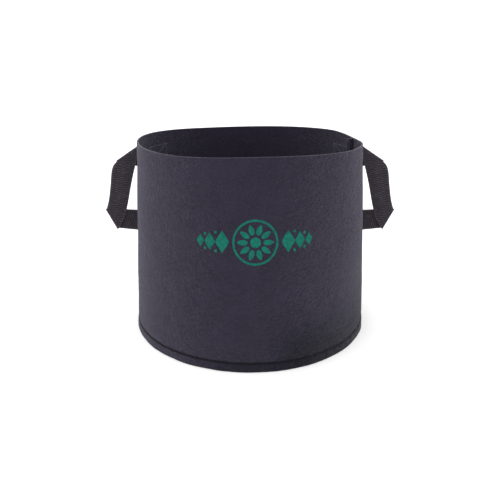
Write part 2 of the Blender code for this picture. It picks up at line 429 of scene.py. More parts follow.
def felt(name, dark, light, fibre, sheen, band=None):
    """Needle-punched felt: mottled, matted with fine fibres, with faint pits, tufts and pills.

    band is the height of a seam on the cloth, with a painted shadow as a dark line along its groove,
    and painted shade on the felt below it and low on the front.
    """
    nodes = Nodes(name)
    vector = nodes.uv()
    broad = nodes.noise(vector, 38.0, 3.0, 0.6)
    fine = nodes.noise(vector, 420.0, 3.0, 0.65)
    strands = fibres(nodes, vector)
    pits = nodes.range(nodes.noise(vector, 900.0, 1.0), 0.35, 0.50)
    mottled = nodes.mix(nodes.range(broad, 0.30, 0.70, 0.2, 0.8), dark, light)
    speckled = nodes.mix(nodes.range(fine, 0.42, 0.75, 0.0, 0.45), mottled, fibre)
    colour = nodes.mix(nodes.times(strands, 0.35), speckled, fibre)
    pills = nodes.pills(vector, 70.0, 0.0012, 0.22)
    colour = nodes.mix(nodes.times(pills, 0.40), colour, fibre)
    if band is not None:
        run, height = nodes.split(vector)
        # Painted shade: the skirt below the seam is darkened from just left of the front round to the
        # right
        below_seam = nodes.range(height, band + 0.0004, band - 0.0006)
        skirt_shade = nodes.range(run, *SKIRT_SHADE_RUN, 0.0, 0.62)
        colour = nodes.mix(nodes.times(below_seam, skirt_shade), colour, PAINTED_SHADE)
        # Painted shadow: a dark line along the seam's groove, fainter from just left of the front
        # round to the right
        off_line = nodes.math("ABSOLUTE", nodes.math("SUBTRACT", height, band))
        groove_shadow_strength = nodes.range(run, *SKIRT_SHADE_RUN, 0.95, 0.60)
        groove_shadow = nodes.times(nodes.range(off_line, 0.0007, 0.0018, 1.0, 0.0), groove_shadow_strength)
        colour = nodes.mix(groove_shadow, colour, GROOVE_SHADE)
        # Painted shade low on the front, right of the middle
        low_down = nodes.range(height, *LOWER_SHADE_HEIGHT, 0.95, 0.0)
        colour = nodes.mix(nodes.times(nodes.range(run, *LOWER_SHADE_RUN), low_down), colour, PAINTED_SHADE)
    tufts = nodes.noise(nodes.mapped(vector, (300.0, 190.0, 1.0)), 1.0, 2.0, 0.55)
    rise = nodes.sum((strands, 0.3), (fine, 0.7), (pits, 0.2), (tufts, 0.9), (pills, 0.9))
    normal = nodes.bump(rise, 0.0010, 0.9)
    return nodes.fabric(colour, normal, 0.95, sheen, 0.30, (0.82, 0.79, 0.92), 0.16)


# The weave: length of a rib across the strap, spacing of the ribs along it, and spacing of the yarns
DASH = 0.0058
RIB = 0.0031
YARN = 0.00095


def webbing_material(name):
    """Woven polypropylene webbing: rows of short ribs across the strap, of fine lengthwise yarns."""
    nodes = Nodes(name)
    vector = nodes.uv()
    along, across = nodes.split(vector)
    column = nodes.times(across, 1.0 / DASH)
    whole_column = nodes.math("FLOOR", column)
    uneven = nodes.noise(vector, 170.0, 2.0)
    row = nodes.sum((whole_column, 0.5), (uneven, 0.75), (along, 1.0 / RIB))
    rib = nodes.range(nodes.math("PINGPONG", row, 0.5), 0.13, 0.40)
    gap = nodes.range(nodes.math("PINGPONG", column, 0.5), 0.0, 0.12, 0.40, 1.0)
    wave = nodes.math("SINE", nodes.times(across, 2 * math.pi / YARN))
    yarn = nodes.range(wave, -1.0, 1.0, 0.62, 1.0)
    crown = nodes.times(nodes.times(rib, gap), yarn)
    twist = nodes.noise(nodes.mapped(vector, (900.0, 2600.0, 1.0), 24.0), 1.0, 1.0)
    wear = nodes.noise(vector, 90.0, 2.0)
    cell = nodes.add("CombineXYZ", X=nodes.math("FLOOR", row), Y=whole_column)
    random = nodes.add("TexWhiteNoise", Vector=cell.outputs["Vector"])
    crown = nodes.times(crown, nodes.range(random.outputs["Value"], 0.0, 1.0, 0.58, 1.0))
    # Painted shade and highlight of the weave: the ribs' crowns lighter, the gaps between rib columns
    # and between yarns darker, mixed with each rib's own tone and the yarns' twist
    tone = nodes.sum((crown, 0.78), (twist, 0.22))
    woven = nodes.mix(tone, (0.0116, 0.0098, 0.0132), (0.0870, 0.0740, 0.0960))
    colour = nodes.mix(nodes.range(wear, 0.45, 0.8, 0.0, 0.20), woven, (0.072, 0.064, 0.078))
    # Lighter border along both edges of the strap: partly the selvedge's own tone, partly a painted
    # highlight where the edges catch the light
    off_middle = nodes.math("ABSOLUTE", nodes.math("SUBTRACT", across, HALF_WEBBING))
    inside = nodes.math("SUBTRACT", HALF_WEBBING, off_middle)
    selvedge_and_highlight = nodes.range(inside, 0.0010, 0.0018, 0.60, 0.0)
    colour = nodes.mix(selvedge_and_highlight, colour, (0.105, 0.098, 0.110))
    normal = nodes.bump(nodes.sum((crown, 1.0), (twist, 0.2)), 0.0005, 0.8)
    return nodes.fabric(colour, normal, 0.75, 0.10, 0.4, (0.85, 0.80, 0.92), 0.18)


def thread_material(name, dark, light, sheen=0.20, specular=0.4):
    """Twisted polyester thread, a little shinier than what it sews."""
    nodes = Nodes(name)
    ply = nodes.noise(nodes.position(), 2200.0, 1.0)
    colour = nodes.mix(nodes.range(ply, 0.3, 0.7), dark, light)
    normal = nodes.bump(ply, 0.0001, 0.6)
    return nodes.fabric(colour, normal, 0.55, sheen, 0.35, (0.9, 0.9, 0.95), specular)


def ink_material(name):
    """Flat green screen-print ink, thin enough for the felt's fibres to show through."""
    nodes = Nodes(name)
    vector = nodes.uv()
    strands = fibres(nodes, vector)
    patchy = nodes.noise(vector, 260.0, 3.0, 0.6)
    cover = nodes.mix(nodes.range(patchy, 0.30, 0.72), (0.0016, 0.082, 0.060), (0.0030, 0.140, 0.104))
    colour = nodes.mix(nodes.times(strands, 0.45), cover, (0.0024, 0.062, 0.047))
    normal = nodes.bump(nodes.sum((strands, 1.0), (patchy, 1.0)), 0.00025, 0.6)
    return nodes.fabric(colour, normal, 0.80, 0.0, 0.5, (0.7, 0.95, 0.9), 0.16)


WALL_FELT = felt(
    "wall_felt", (0.0139, 0.0116, 0.0220), (0.0200, 0.0166, 0.0313), (0.037, 0.032, 0.051),
    sheen=0.215, band=SEAM_HEIGHT,
)
# Cut edges of the felt, in lighter colours: a painted highlight where their fuzzy fibres catch the
# light
CUT_EDGE_HIGHLIGHT_FELT = felt(
    "cut_felt_edge_highlight", (0.0195, 0.0170, 0.0250), (0.0325, 0.0290, 0.0405), (0.069, 0.065, 0.081),
    sheen=0.41,
)
BASE_FELT = felt(
    "base_felt", (0.0108, 0.0093, 0.0158), (0.0156, 0.0134, 0.0223), (0.028, 0.026, 0.037),
    sheen=0.22,
)
WEBBING_CLOTH = webbing_material("webbing")
DARK_THREAD = thread_material("dark_thread", (0.020, 0.018, 0.024), (0.050, 0.047, 0.058))
# Thread of the base seam, made near black as painted shade, so that with the groove's painted shadow
# it draws a dark line
SEAM_THREAD_IN_SHADE = thread_material("black_thread", (0.001, 0.001, 0.002), (0.005, 0.004, 0.007), 0.02, 0.1)
GREY_THREAD = thread_material("grey_thread", (0.070, 0.066, 0.076), (0.150, 0.145, 0.158))
INK = ink_material("green_ink")


# ---------------------------------------------------------------- the wall's surface

# How far the rim stands above or below level, in mm, at angles in degrees from the front
RIM_LEVELS = ((-164, -1.5), (-104, 1.6), (-37, -1.8), (7, 1.0), (61, -1.7), (98, -3.4), (127, 1.2))
FOOT_HEIGHT = 0.0050

# How high the felt's unevenness stands, and how far the seam's stitches pucker it and how widely
BROAD_RELIEF = 0.00065
MIDDLING_RELIEF = 0.00022
SMALL_RELIEF = 0.00009
SKIRT_WAVE = 0.0007
STITCH_DIMPLE = 0.00025
DIMPLE_REACH = 0.0028


def rim_lift(angle):
    """How far the rim stands above level at this angle."""
    degrees = (math.degrees(angle) + 164.0) % 360.0 - 164.0
    levels = RIM_LEVELS + ((RIM_LEVELS[0][0] + 360, RIM_LEVELS[0][1]),)
    for (low, start), (high, end) in zip(levels, levels[1:]):
        if low <= degrees <= high:
            return 0.001 * (start + (end - start) * smooth(low, high, degrees))
    return 0.0


def material_height(angle, height):
    """Where a point of the felt that was cut at this height now stands."""
    return height + rim_lift(angle) * (height / HEIGHT) ** 3


def wall_radius(height):
    """Outer radius of the wall: upright at the foot, pinched in at the base seam, then tapering."""
    share = max(0.0, height - FOOT_HEIGHT) / (HEIGHT - FOOT_HEIGHT)
    taper = BASE_RADIUS + (RIM_RADIUS - BASE_RADIUS) * share
    span = PINCH_ABOVE if height > SEAM_HEIGHT else PINCH_BELOW
    offset = abs(height - SEAM_HEIGHT) / span
    return taper - SEAM_PINCH * max(0.0, 1.0 - offset) ** 1.5


def relief(angle, height):
    """Soft unevenness of the felt, seamless round the pot."""
    place = radial(angle) + Vector((0.0, 0.0, height / BASE_RADIUS))
    broad = noise.noise(place * 2.6 + Vector((3.1, 0.0, 0.0)))
    middling = noise.noise(place * 9.0)
    small = noise.noise(place * 24.0)
    calm = 1.0 - 0.7 * smooth(0.35, 0.12, abs(abs(wrapped(angle)) - HINGE_ANGLE - 0.12))
    stitch = math.cos(2 * math.pi * angle / BASE_STITCH_TURN)
    stitch *= math.exp(-(((height - SEAM_HEIGHT) / DIMPLE_REACH) ** 2))
    skirt = 1.0 - smooth(0.0, SEAM_HEIGHT, height)
    wave = noise.noise(place * 7.0 + Vector((0.0, 9.0, 0.0)))
    return (
        (BROAD_RELIEF * broad + MIDDLING_RELIEF * middling) * calm * smooth(0.0, 0.03, height)
        + SMALL_RELIEF * small
        + STITCH_DIMPLE * stitch
        + (SKIRT_FLARE + SKIRT_WAVE * wave) * skirt
    )


def wrapped(angle):
    """The same angle between -pi and pi."""
    return (angle + math.pi) % (2 * math.pi) - math.pi


def on_wall(angle, height, outward=0.0):
    """A point at this angle and height, this far outward of the wall's outer face."""
    reach = wall_radius(height) + relief(angle, height) + outward
    return radial(angle) * reach + Vector((0.0, 0.0, height))


# ---------------------------------------------------------------- wall

BASE_STITCHES = round(2 * math.pi * BASE_RADIUS / BASE_STITCH)
BASE_STITCH_TURN = 2 * math.pi / BASE_STITCHES
SEAM_RADIAL = radial(SIDE_SEAM_ANGLE)
SEAM_TANGENT = tangent(SIDE_SEAM_ANGLE)
EDGE_REACH = CUT_EDGE[-1][1]

# The seam's turned-in ends lean over towards the back near the rim, bending over this length, droop
# a little there, and weave a little from side to side lower down
FIN_LEAN = 0.95
FIN_BEND = 0.0030
FIN_DROOP = 0.0022
FIN_WEAVE = 0.10


def fin_bend(inward, height):
    """Where the turned-in ends lie this far along them: how far in, how far aside, and their lean."""
    lean = FIN_WEAVE * math.sin(height * 31.0 + 0.6) * smooth(0.015, 0.05, height)
    lean += FIN_LEAN * smooth(0.14, HEIGHT, height)
    if abs(lean) < 1e-6:
        return inward, 0.0, 0.0
    past = max(0.0, inward - SEAM_CORNER)
    straight = max(0.0, past - FIN_BEND)
    here = lean * min(past, FIN_BEND) / FIN_BEND
    radius = FIN_BEND / lean
    further_in = radius * math.sin(here) + straight * math.cos(here)
    aside = radius * (1.0 - math.cos(here)) + straight * math.sin(here)
    return min(inward, SEAM_CORNER) + further_in, aside, here


def fin_point(inward, sideways, height):
    """A point of the side seam, this far along its turned-in ends and this far to one side of them."""
    depth, aside, lean = fin_bend(inward, height)
    droop = FIN_DROOP * smooth(0.0, SEAM_ALLOWANCE, inward) * smooth(HEIGHT - 0.030, HEIGHT, height)
    reach = wall_radius(height) + relief(SIDE_SEAM_ANGLE, height) - depth + sideways * math.sin(lean)
    beside = aside + sideways * math.cos(lean)
    return SEAM_RADIAL * reach + SEAM_TANGENT * beside + Vector((0.0, 0.0, height - droop))


def wall_columns():
    """The strip's columns in order, each as (angle, inward, sideways). inward is None off the seam."""
    half_gap = CLEARANCE / 2
    turned = [(inward, half_gap) for inward in spread(SEAM_ALLOWANCE, 0.0040, 5)]
    for step in range(6):
        turn = math.radians(18.0 * step)
        inward = SEAM_CORNER * (1 - math.sin(turn))
        turned.append((inward, half_gap + SEAM_CORNER * (1 - math.cos(turn))))
    reach = (half_gap + SEAM_CORNER) / BASE_RADIUS
    count = 2 * BASE_STITCHES - 2
    start = [(SIDE_SEAM_ANGLE, inward, beside) for inward, beside in turned]
    around = [
        (SIDE_SEAM_ANGLE + reach + (2 * math.pi - 2 * reach) * step / count, None, 0.0)
        for step in range(1, count)
    ]
    return start + around + [(angle, inward, -beside) for angle, inward, beside in reversed(start)]


def wall_rows():
    """Heights that the strip's rows were cut at."""
    foot = spread(EDGE_REACH, 0.020, 34)
    side = spread(0.020, 0.232, 56)
    rim = spread(0.232, HEIGHT - EDGE_REACH, 8)
    return foot[:-1] + side[:-1] + rim


def build_wall():
    columns, heights = wall_columns(), wall_rows()
    rows = []
    for height in heights:
        row = []
        for angle, inward, beside in columns:
            stands = material_height(angle, height)
            if inward is None:
                row.append(on_wall(angle, stands))
            else:
                row.append(fin_point(inward, beside, stands))
        rows.append(row)
    along = distances(rows[len(rows) // 2])
    uvs = [[(distance, height) for distance in along] for height in heights]
    wall = shell("wall", rows, FELT, [WALL_FELT, CUT_EDGE_HIGHLIGHT_FELT], uvs)
    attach(wall, "root")
    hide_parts("wall_panel")


# ---------------------------------------------------------------- base

BASE_BEND = 0.0030
BASE_SAG = 0.0075
BASE_WAVE = 0.0011
BASE_GATHER = 0.0012
BASE_COLUMNS = 240

# How far from the side seam the base's edge is wholly gathered in, and where it is no longer
PUCKER_SPAN = (0.0034, 0.0085)
PUCKER_GAP = 0.0012


def base_pucker(angle):
    """How far the base's edge is gathered in, to pass inside the side seam's turned-in ends."""
    beside = abs(wrapped(angle - SIDE_SEAM_ANGLE)) * BASE_RADIUS
    return (SEAM_ALLOWANCE + PUCKER_GAP) * (1.0 - smooth(*PUCKER_SPAN, beside))


def build_base():
    """The base: a felt disc hung from the seam and sagging, its edge turned down inside the wall."""
    bend_start = SEAM_HEIGHT + 0.0010
    top = bend_start + BASE_BEND
    gap = FELT + CLEARANCE
    steps = spread(0.0, 1.0, 7)[1:]
    plan = [("flat", share) for share in spread(0.02, 0.96, 34)]
    plan += [("bend", share) for share in steps]
    plan += [("skirt", share) for share in steps]
    rows, uvs = [], []
    distance = 0.0
    for kind, share in plan:
        row = []
        for column in range(BASE_COLUMNS):
            angle = 2 * math.pi * column / BASE_COLUMNS
            seam_edge = wall_radius(SEAM_HEIGHT) + relief(angle, SEAM_HEIGHT) - gap
            foot_edge = wall_radius(EDGE_REACH) + relief(angle, EDGE_REACH) - gap
            flat_edge = seam_edge - BASE_BEND
            if kind == "flat":
                reach = flat_edge * share
                height = top - BASE_SAG * (1.0 - share * share)
            elif kind == "bend":
                reach = flat_edge + BASE_BEND * math.sin(share * math.pi / 2)
                height = bend_start + BASE_BEND * math.cos(share * math.pi / 2)
            else:
                height = bend_start + (EDGE_REACH - bend_start) * share
                below = smooth(SEAM_HEIGHT, EDGE_REACH, height)
                reach = seam_edge + (foot_edge - seam_edge) * below
            pucker = base_pucker(angle)
            edge_share = reach / seam_edge
            reach *= 1.0 - pucker / seam_edge * edge_share ** 3
            gather = noise.noise(radial(angle) * 11.0)
            height += BASE_GATHER * gather * math.exp(-(((edge_share - 0.93) / 0.05) ** 2))
            if kind == "flat":
                broad = noise.noise(radial(angle) * share * 2.0 + Vector((5.0, 5.0, 0.0)))
                height += BASE_WAVE * broad * (1.0 - share)
            row.append(radial(angle) * reach + Vector((0.0, 0.0, height)))
        if rows:
            distance += (row[BASE_COLUMNS // 2] - rows[-1][BASE_COLUMNS // 2]).length
        else:
            distance = row[BASE_COLUMNS // 2].xy.length
        rows.append(row)
        uvs.append(
            [tuple(radial(2 * math.pi * c / BASE_COLUMNS).xy * distance) for c in range(BASE_COLUMNS)]
        )
    # the upper face looks along (next column) x (next row), so the columns run the other way
    rows = [row[::-1] for row in rows]
    uvs = [row[::-1] for row in uvs]
    middle = sum(point.z for point in rows[0]) / BASE_COLUMNS
    centre = [Vector((0.0, 0.0, middle)), Vector((0.0, 0.0, middle - FELT))]
    base = shell("base", rows, FELT, [BASE_FELT, CUT_EDGE_HIGHLIGHT_FELT], uvs, cyclic=True, centre=centre)
    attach(base, "root")
    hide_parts("base_panel")


# ---------------------------------------------------------------- handles

TAB_GAP = 0.0001
TAB_SETBACK = 0.0010

# Where the modelled strap leaves the wall and where its arms begin, measured from the hinge
TAB_END = 0.0022
ARM_START = 0.0012

# Distances along the wall in front of the hinge and behind it, at which build_strap works out two
# points that nothing uses
BEND_BEFORE = 0.0030
BEND_AFTER = 0.0016

SWING_AT_REST = math.radians(57.0)
GRIP_FORWARD = 0.0035
TIGHT_FOLD = 0.00175
OPEN_FOLD = 0.0010

# The loop's folds and the two edges of its grip, as (away from the pot, up from the lower hinge)
UPPER_FOLD = ((0.0104, 0.1053), (0.0396, 0.0856))
LOWER_FOLD = ((0.0396, -0.0090), (0.0546, 0.0204))
GRIP_INSIDE = (
    (0.0112, 0.0960), (0.0136, 0.0825), (0.0174, 0.0670), (0.0212, 0.0490), (0.0244, 0.0310),
    (0.0272, 0.0180), (0.0308, 0.0060), (0.0352, -0.0020),
)
GRIP_OUTSIDE = (
    (0.0413, 0.0832), (0.0432, 0.0808), (0.0448, 0.0772), (0.0461, 0.0720), (0.0469, 0.0650),
    (0.0476, 0.0560), (0.0488, 0.0450), (0.0504, 0.0340), (0.0524, 0.0255),
)
STRAP_STEP = 0.0006
STRAP_LINES = 21
STRAP_WAVE = 0.0007
STRAP_WAVE_START = 0.0200

# How far along the strap its two folds are, and over how many steps the weave takes up their slant
FOLD_SHARES = (0.28, 0.645)
TAKE_UP = 45


def hinge_frame():
    """The right handle's hinge: its lower point, the way along the wall, and the loop's own axes.

    The loop's axes at rest point away from the pot, to its front, and up the hinge.
    """
    joint = HINGES["right_handle"]
    origin = Vector(joint["pos_m"])
    up = Vector(joint["axis"]).normalized()
    up = up if up.z > 0 else -up
    along_wall = -tangent(HINGE_ANGLE)
    outward = up.cross(along_wall)
    away = along_wall * math.cos(SWING_AT_REST) + outward * math.sin(SWING_AT_REST)
    front = along_wall * math.sin(SWING_AT_REST) - outward * math.cos(SWING_AT_REST)
    return origin, along_wall, (away, front, up)


def mirrored(point, side):
    """The point itself on the right side (+1), or its mirror image on the left (-1)."""
    return Vector((point.x * side, point.y, point.z))


def fold_rows(ends, downward, steps=18):
    """Edge pairs as the strap turns over a fold line, from its back layer to its front layer."""
    inner, outer = (Vector(end) for end in ends)
    line = (outer - inner).normalized()
    over = Vector((line.y, -line.x)) if downward else Vector((-line.y, line.x))
    pairs = []
    for step in range(steps + 1):
        turn = math.pi * step / steps
        pair = []
        for corner, radius in ((inner, TIGHT_FOLD), (outer, OPEN_FOLD)):
            flat = corner + over * radius * (math.sin(turn) - 1.0)
            pair.append(Vector((flat.x, GRIP_FORWARD - radius * (1.0 + math.cos(turn)), flat.y)))
        pairs.append(pair)
    return pairs


def along_curve(places, count):
    """This many points, evenly spaced along a smooth curve through the places."""
    places = [Vector(place) for place in places]
    ends = [places[0] * 2 - places[1]] + places + [places[-1] * 2 - places[-2]]
    dense = []
    for p, q, r, s in zip(ends, ends[1:], ends[2:], ends[3:]):
        for step in range(12):
            t = step / 12
            dense.append(
                (q * 2 + (r - p) * t + (p * 2 - q * 5 + r * 4 - s) * t * t
                 + (q * 3 - p - r * 3 + s) * t ** 3) / 2
            )
    dense.append(places[-1])
    return [dense[leg].lerp(dense[leg + 1], share) for leg, share in stops(distances(dense), count)]


def loop_pairs(rise):
    """Pairs of points on the strap's two edges along the loop, as (away, front, up)."""
    halves = (HALF_WEBBING, -HALF_WEBBING)
    upper_arm = [[Vector((ARM_START, 0.0, rise + half)) for half in halves]]
    lower_arm = [[Vector((ARM_START, 0.0, -half)) for half in halves]]
    upper_fold = fold_rows(UPPER_FOLD, False)
    lower_fold = fold_rows(LOWER_FOLD, True)[::-1]
    sides = []
    for edge, places in ((0, GRIP_INSIDE), (1, GRIP_OUTSIDE)):
        first = upper_fold[-1][edge].xz
        last = lower_fold[0][edge].xz
        sides.append(along_curve([first, *places, last], 60))
    grip = [
        [Vector((edge.x, GRIP_FORWARD, edge.y)) for edge in pair] for pair in zip(*sides)
    ][1:-1]
    return upper_arm + upper_fold + grip + lower_fold + lower_arm


def evened(pairs, step):
    """The pairs, spaced evenly along the line midway between the edges, and that line's length."""
    run = distances([(a + b) / 2 for a, b in pairs])
    made = [
        [here.lerp(after, share) for here, after in zip(pairs[leg], pairs[leg + 1])]
        for leg, share in stops(run, round(run[-1] / step) + 1)
    ]
    return made, run[-1]


def softened(pairs, times, keep):
    """The pairs with sharp turns smoothed out, apart from the first and last few."""
    for _ in range(times):
        middle = [
            [before[e] * 0.25 + here[e] * 0.5 + after[e] * 0.25 for e in (0, 1)]
            for before, here, after in zip(pairs, pairs[1:], pairs[2:])
        ]
        made = [pairs[0]] + middle + [pairs[-1]]
        pairs = pairs[:keep] + made[keep:-keep] + pairs[-keep:]
    return pairs


def tab_pair(angle, height, outward):
    """The strap's two edges where it lies on the wall."""
    return [on_wall(angle, height + half, outward) for half in (HALF_WEBBING, -HALF_WEBBING)]


def strap_pairs():
    """Pairs of points on the right strap's two edges, from its upper sewn end to its lower one."""
    origin, _, (away, front, up) = hinge_frame()
    rise = (UPPER_TAB_HEIGHT - LOWER_TAB_HEIGHT) / up.z
    middle = TAB_GAP + WEBBING / 2
    start = HINGE_ANGLE + TAB_END / BASE_RADIUS
    end = HINGE_ANGLE + (TAB_SETBACK + TAB_LENGTH) / BASE_RADIUS
    upper_tab = [tab_pair(angle, UPPER_TAB_HEIGHT, middle) for angle in spread(end, start, 40)]
    lower_tab = [tab_pair(angle, LOWER_TAB_HEIGHT, middle)[::-1] for angle in spread(start, end, 40)]
    loop = [
        [origin + away * edge.x + front * edge.y + up * edge.z for edge in pair]
        for pair in loop_pairs(rise)
    ]
    pairs, length = evened(upper_tab + loop + lower_tab, STRAP_STEP)
    tab_steps = round(TAB_LENGTH / STRAP_STEP) - 5
    return softened(pairs, 5, tab_steps), length


def cloth_lengths(pairs, length):
    """How far along the strap each point of its two edges lies, in the cloth itself.

    The two folded edges don't come out quite alike. The difference is taken up next to the folds, so
    that the rows of the weave run square across the middle of the grip and across both sewn ends.
    """
    runs = [distances(edge) for edge in zip(*pairs)]
    upper, lower = (round(len(pairs) * share) for share in FOLD_SHARES)
    middle = (upper + lower) // 2
    way = (sum(pairs[middle + 5], Vector()) - sum(pairs[middle - 5], Vector())).normalized()
    square = (pairs[middle][1] - pairs[middle][0]).dot(way)
    slant = (runs[1][middle] - runs[0][middle] - square) / 2
    made = []
    for run, in_grip in zip(runs, (-slant, slant)):
        at_end = run[-1] - length
        made.append([
            distance
            - in_grip * smooth(upper - 4, upper + TAKE_UP, index)
            - (at_end - in_grip) * smooth(lower - TAKE_UP, lower + 4, index)
            for index, distance in enumerate(run)
        ])
    return made


def build_strap(side_name, side):
    pairs, length = strap_pairs()
    origin, along_wall, (_, front, _) = hinge_frame()
    inset = EDGE_REACH / WEBBING_WIDTH
    shares = spread(inset, 1.0 - inset, STRAP_LINES)
    cloth = cloth_lengths(pairs, length)
    loose = (TAB_LENGTH, TAB_LENGTH + STRAP_WAVE_START)
    rows, uvs = [], []
    for share in shares:
        row, uv_row = [], []
        for index, (top, bottom) in enumerate(pairs):
            along = cloth[0][index] * (1.0 - share) + cloth[1][index] * share
            place = Vector((along * 26.0, share * 1.3, 7.0 * side))
            free = smooth(*loose, along) * smooth(*loose, length - along)
            point = top.lerp(bottom, share) + front * STRAP_WAVE * noise.noise(place) * free
            row.append(mirrored(point, side))
            uv_row.append((along, share * WEBBING_WIDTH))
        rows.append(row)
        uvs.append(uv_row)
    if side < 0:
        rows, uvs = rows[::-1], uvs[::-1]

    def woven(r, c):
        along, across = uvs[r][c]
        shift = 0.5 * math.floor(across / DASH)
        crown = abs(math.sin(math.pi * (along / RIB + shift)))
        return WEBBING * (0.88 + 0.12 * crown)

    strap = shell(side_name + "_strap", rows, woven, [WEBBING_CLOTH], uvs, lift=0.5)
    start = mirrored(origin - along_wall * BEND_BEFORE, side)
    end = mirrored(origin + along_wall * BEND_AFTER, side)
    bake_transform(strap)
    handle = side_name + "_handle_"
    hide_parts(handle + "loop", handle + "upper_end", handle + "lower_end")


# ---------------------------------------------------------------- stitches


def stitch_run(corners, pitch):
    """Each stitch along a run of straight lines, as a pair of flat places."""
    made = []
    for start, end in zip(corners, corners[1:]):
        count = max(1, round((end - start).length / pitch))
        for step in range(count):
            made.append((start.lerp(end, step / count), start.lerp(end, (step + 1) / count)))
    return made


# One stitch: how far along it each point of its thread lies, and its height over the cloth in threads
STITCH_SHAPE = (
    (0.06, -0.9), (0.12, -0.1), (0.28, 0.42), (0.5, 0.5), (0.72, 0.42), (0.88, -0.1), (0.94, -0.9),
)
STITCH_DRIFT = 0.00018

# How deep the bobbin threads of the strap ends are drawn into the felt, in threads
DRAWN_IN = 0.55


def stitches(name, node, places, on_surface, material, sunk=0.0):
    """Separate stitches between pairs of flat places. on_surface turns (u, v, lift) into a point.

    sunk is how deep the thread is drawn into the cloth, in threads.
    """
    points, faces = [], []
    for number, (start, end) in enumerate(places):
        drift = STITCH_DRIFT * noise.noise(Vector((number * 0.73, 1.7, len(places) * 0.11)))
        side = (end - start).orthogonal().normalized() * drift
        path = []
        for share, lift in STITCH_SHAPE:
            flat = start.lerp(end, share) + side
            path.append(on_surface(flat.x, flat.y, (lift - sunk) * THREAD))
        tube_into(points, faces, path, THREAD / 2)
    made = mesh_object(name, points, faces, materials=[material])
    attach(made, "root")
    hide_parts(node)


# The sewn box's distance from the strap end's short and long sides
BOX_INSET = 0.0030
BOX_MARGIN = 0.0028


def build_tab_stitches(side_name, side, level, middle_height):
    """A box with a cross through it, on the strap end outside and on the felt inside."""
    half_long = TAB_LENGTH / 2 - BOX_INSET
    half_high = HALF_WEBBING - BOX_MARGIN
    signs = ((-1, 1), (1, 1), (1, -1), (-1, -1))
    corner = [Vector((x * half_long, y * half_high)) for x, y in signs]
    places = stitch_run(corner + corner[:1], TAB_STITCH)
    places += stitch_run([corner[0], corner[2]], TAB_STITCH)
    places += stitch_run([corner[1], corner[3]], TAB_STITCH)
    start = HINGE_ANGLE + (TAB_SETBACK + TAB_LENGTH / 2) / BASE_RADIUS
    node = side_name + "_handle_" + level + "_end_"
    for thread_name, face, sign in (("needle", TAB_GAP + WEBBING, 1), ("bobbin", -FELT, -1)):

        def on_surface(along, up, lift):
            angle = start + along / BASE_RADIUS
            return mirrored(on_wall(angle, middle_height + up, face + lift * sign), side)

        material = DARK_THREAD if thread_name == "needle" else GREY_THREAD
        name = node + thread_name + "_stitches"
        sunk = 0.0 if thread_name == "needle" else DRAWN_IN
        stitches(name, node + thread_name + "_thread", places, on_surface, material, sunk)


# Stitches left out of the base seam's inner side at each side of the side seam's turned-in ends
CLEAR_STITCHES = 3


def build_base_stitches():
    turn = BASE_STITCH_TURN

    def places(first, count):
        return [
            (Vector(((first + step) * turn, 0.0)), Vector(((first + step + 1) * turn, 0.0)))
            for step in range(count)
        ]

    def outside(angle, up, lift):
        return on_wall(angle, SEAM_HEIGHT + up, lift)

    def inside(angle, up, lift):
        return on_wall(angle, SEAM_HEIGHT + up, -2 * FELT - CLEARANCE - lift)

    stitches(
        "base_seam_needle_stitches", "base_seam_needle_thread",
        places(0.5, BASE_STITCHES), outside, SEAM_THREAD_IN_SHADE,
    )
    first = SIDE_SEAM_ANGLE / turn + CLEAR_STITCHES
    stitches(
        "base_seam_bobbin_stitches", "base_seam_bobbin_thread",
        places(first, BASE_STITCHES - 2 * CLEAR_STITCHES), inside, DARK_THREAD,
    )


# Where the side seam's stitching starts above the base seam and stops below the rim
SIDE_STITCH_START = 0.0080
SIDE_STITCH_STOP = 0.0030


def build_side_stitches():
    low, high = SEAM_HEIGHT + SIDE_STITCH_START, HEIGHT - SIDE_STITCH_STOP
    places = stitch_run([Vector((0.0, low)), Vector((0.0, high))], SIDE_STITCH)
    for thread_name, sign in (("needle", -1), ("bobbin", 1)):

        def on_surface(_, height, lift):
            beside = (CLEARANCE / 2 + FELT + lift) * sign
            return fin_point(SIDE_STITCH_DEPTH, beside, material_height(SIDE_SEAM_ANGLE, height))

        name = "side_seam_" + thread_name
        stitches(name + "_stitches", name + "_thread", places, on_surface, DARK_THREAD)


# ---------------------------------------------------------------- print

PRINT_ANGLE = math.radians(2.3)
PRINT_HEIGHT = 0.150
INK_LIFT = 0.00018
INK_DEPTH = 0.00030

# The flower and the ring round it
PETALS = 10
PETAL_START = 0.0085
PETAL_END = 0.0208
PETAL_HALF_WIDTH = 0.0032
FLOWER_MIDDLE = 0.0060
RING_RADIUS = 0.0243
RING_HALF_WIDTH = 0.0013

# Diamonds beside the flower: middle, half length and half height
DIAMONDS = ((0.0370, 0.0078, 0.0125), (0.0512, 0.0060, 0.0098), (0.0625, 0.0045, 0.0072))

# Dots between them: middle and height above or below the diamonds' line
DOTS = ((0.0445, 0.0105), (0.0568, 0.0080))
DOT_RADIUS = 0.0017

# How many lines of points a blade of ink has across it, and its half width at its tips
BLADE_LINES = 5
BLADE_TIP = 0.00005


